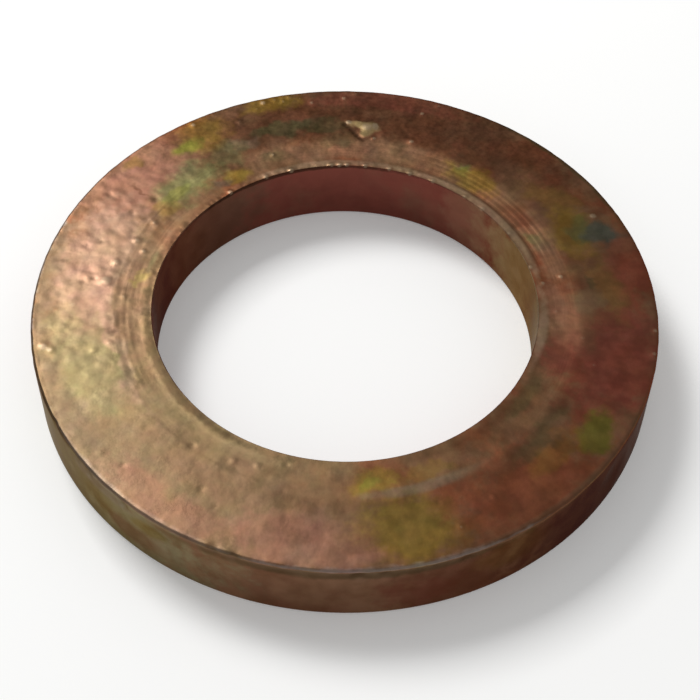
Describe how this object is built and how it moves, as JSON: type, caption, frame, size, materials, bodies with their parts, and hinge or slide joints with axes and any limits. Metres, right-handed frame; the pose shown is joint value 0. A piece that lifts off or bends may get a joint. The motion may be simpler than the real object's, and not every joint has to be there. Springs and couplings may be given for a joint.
{
  "type": "washer",
  "caption": "Thick plain ring washer in yellow-passivated zinc-plated steel, with a wide bore, a shallow turned land round it and a slightly rolled front rim.",
  "frame": {"origin": "centre of the back face, where the bore's axis meets the plane that the washer lies on", "axes": "+Z along the bore from the back face to the front face with the turned land, X and Y free about the ring's axis"},
  "size_m": [0.034, 0.034, 0.004],
  "materials": {
    "plated_steel": "zinc plating with a yellow, iridescent passivation, satin and slightly pitted"
  },
  "bodies": {
    "root": {"washer": "plated_steel"}
  },
  "joints": []
}
